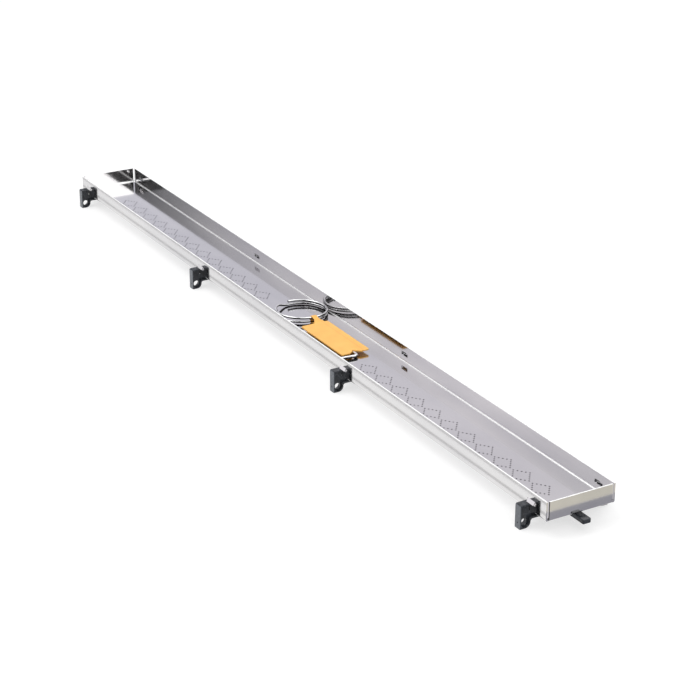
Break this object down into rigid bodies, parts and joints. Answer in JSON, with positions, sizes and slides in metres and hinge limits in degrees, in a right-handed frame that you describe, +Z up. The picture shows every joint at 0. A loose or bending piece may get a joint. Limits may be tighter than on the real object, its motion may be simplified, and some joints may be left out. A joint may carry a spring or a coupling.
{
  "type": "channel drain tile tray",
  "caption": "Long folded stainless tile tray of a linear shower drain, held on moulded plastic saddles, with a key of ring, strap and wire hook lying in it.",
  "frame": {"origin": "centre of the plan, on the plane that the feet stand on", "axes": "+X along the tray, +Z up out of the tray's mouth, +Y away from the viewer"},
  "size_m": [0.713, 0.0646, 0.0235],
  "materials": {
    "stainless": "bright rolled stainless, near mirror",
    "saddle_plastic": "dark blue-grey moulded, semi-gloss",
    "ring_chrome": "bright nickel plate",
    "strap_orange": "soft satin strap",
    "hook_steel": "bright drawn wire"
  },
  "bodies": {
    "tray": {"tray": "stainless", "saddle_1": "saddle_plastic", "saddle_2": "saddle_plastic", "saddle_3": "saddle_plastic", "saddle_4": "saddle_plastic", "grip_strap": "strap_orange", "lift_hook": "hook_steel"},
    "ring": {"lift_ring": "ring_chrome"}
  },
  "joints": [
    {"name": "ring_swing", "type": "hinge", "parent": "tray", "child": "ring", "pos_m": [0.0181, 0.00352, 0.01434], "axis": [0, 1, 0], "range_deg": [0, 120]}
  ]
}
